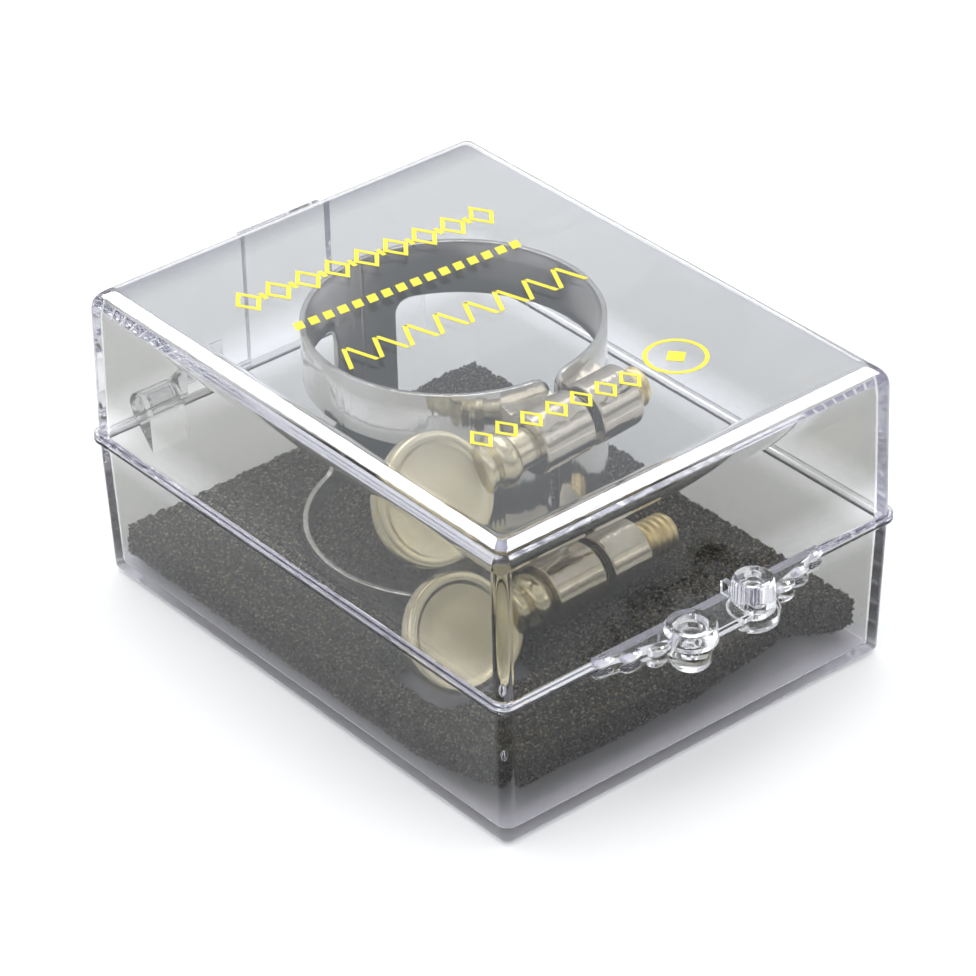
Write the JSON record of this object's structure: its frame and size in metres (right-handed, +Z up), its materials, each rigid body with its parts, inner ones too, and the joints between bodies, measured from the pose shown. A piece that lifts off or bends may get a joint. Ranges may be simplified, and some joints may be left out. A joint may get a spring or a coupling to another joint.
{
  "type": "saxophone ligature in a hinged case",
  "caption": "Windowed saxophone ligature with paddle-headed thumb screws, standing on a foam pad in a clear hinged case.",
  "frame": {"origin": "centre of the case's footprint, on its underside", "axes": "+Z up through the lid; -Y towards the clasp side, +Y towards the hinge side; +X towards the threaded end of the screws"},
  "size_m": [0.0454, 0.0653, 0.03],
  "materials": {
    "clear_plastic": "clear moulded plastic, polished",
    "foam": "open-cell foam, matt",
    "nickel_plate": "polished nickel plate",
    "screw_nickel": "worn nickel plate over brass"
  },
  "bodies": {
    "case_and_band": {"case_base": "clear_plastic", "foam_pad": "foam", "ligature_band": "nickel_plate", "upper_plain_post": "nickel_plate", "lower_plain_post": "nickel_plate"},
    "lid": {"case_lid": "clear_plastic"},
    "free_end": {"upper_threaded_post": "nickel_plate", "lower_threaded_post": "nickel_plate"},
    "upper_thumb_screw": {"upper_screw": "screw_nickel", "upper_paddle": "screw_nickel"},
    "lower_thumb_screw": {"lower_screw": "screw_nickel", "lower_paddle": "screw_nickel"}
  },
  "joints": [
    {"name": "lid_hinge", "type": "hinge", "parent": "case_and_band", "child": "lid", "pos_m": [0, 0.03065, 0.0146], "axis": [-1, 0, 0], "range_deg": [0, 120]},
    {"name": "band_squeeze", "type": "slide", "parent": "case_and_band", "child": "free_end", "axis": [-1, 0, 0], "range_m": [0, 0.00075], "deforming": ["ligature_band"]},
    {"name": "lower_screw_turn", "type": "hinge", "parent": "case_and_band", "child": "lower_thumb_screw", "pos_m": [0.002, -0.0098, 0.0082], "axis": [0.9997, 0, 0.0262], "range_deg": [0, 386]},
    {"name": "upper_screw_turn", "type": "hinge", "parent": "case_and_band", "child": "upper_thumb_screw", "pos_m": [0.002, -0.0098, 0.0233], "axis": [0.9981, 0, 0.061], "range_deg": [0, 1180]}
  ],
  "couplings": [
    {"joint": "lower_screw_turn", "follows": "band_squeeze", "rad_per_m": 8976}
  ]
}
